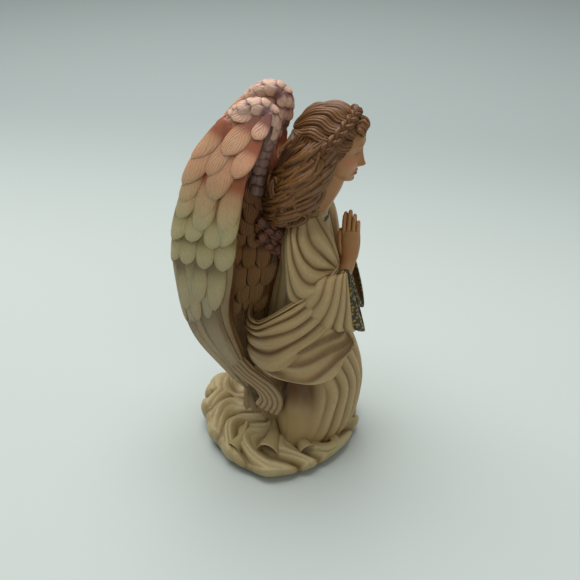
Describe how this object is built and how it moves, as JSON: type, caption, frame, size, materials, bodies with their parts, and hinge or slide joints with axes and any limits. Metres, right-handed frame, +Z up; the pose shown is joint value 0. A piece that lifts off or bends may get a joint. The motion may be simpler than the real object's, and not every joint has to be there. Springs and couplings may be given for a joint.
{
  "type": "angel figurine",
  "caption": "Kneeling praying angel statuette with tall cupped feathered wings, long wavy hair and a draped gown, on a round base of puddled cloth.",
  "frame": {"origin": "middle of the underside of the felt pad, on the table", "axes": "+Z up; the angel faces -Y; its right hand and right wing are on the -X side"},
  "size_m": [0.0732, 0.0803, 0.1625],
  "materials": {
    "gown_resin": "satin ivory cast resin, olive-grey shading wiped into the folds",
    "base_resin": "satin ivory cast resin",
    "skin_resin": "satin tan-peach cast resin",
    "hair_resin": "satin warm brown cast resin with dark wash in the grooves",
    "trim_paint": "antique gold dry-brushed over dark green paint",
    "crest_resin": "satin mauve-pink airbrushed resin",
    "covert_resin": "satin peach-pink airbrushed resin",
    "flight_resin": "satin ivory to pale olive airbrushed resin",
    "tip_resin": "satin tan-pink airbrushed resin",
    "felt": "thin green-grey felt",
    "peg_steel": "plain steel peg"
  },
  "bodies": {
    "root": {"felt_pad": "felt", "base_drapery": "base_resin", "gown_skirt": "gown_resin", "bodice": "gown_resin", "mantle": "gown_resin", "collar_trim": "trim_paint", "neck": "skin_resin", "head": "skin_resin", "hair_cap": "hair_resin", "hair_braid": "hair_resin", "hair_locks": "hair_resin", "right_hand": "skin_resin", "right_sleeve": "gown_resin", "right_cuff_trim": "trim_paint", "right_wing_root": "crest_resin", "right_wing_crest": "crest_resin", "right_wing_lining": "covert_resin", "right_wing_coverts": "covert_resin", "right_wing_flight_feathers": "flight_resin", "right_wing_tip": "tip_resin", "right_wing_peg": "peg_steel", "left_hand": "skin_resin", "left_sleeve": "gown_resin", "left_cuff_trim": "trim_paint", "left_wing_root": "crest_resin", "left_wing_crest": "crest_resin", "left_wing_lining": "covert_resin", "left_wing_coverts": "covert_resin", "left_wing_flight_feathers": "flight_resin", "left_wing_tip": "tip_resin", "left_wing_peg": "peg_steel"}
  },
  "joints": []
}
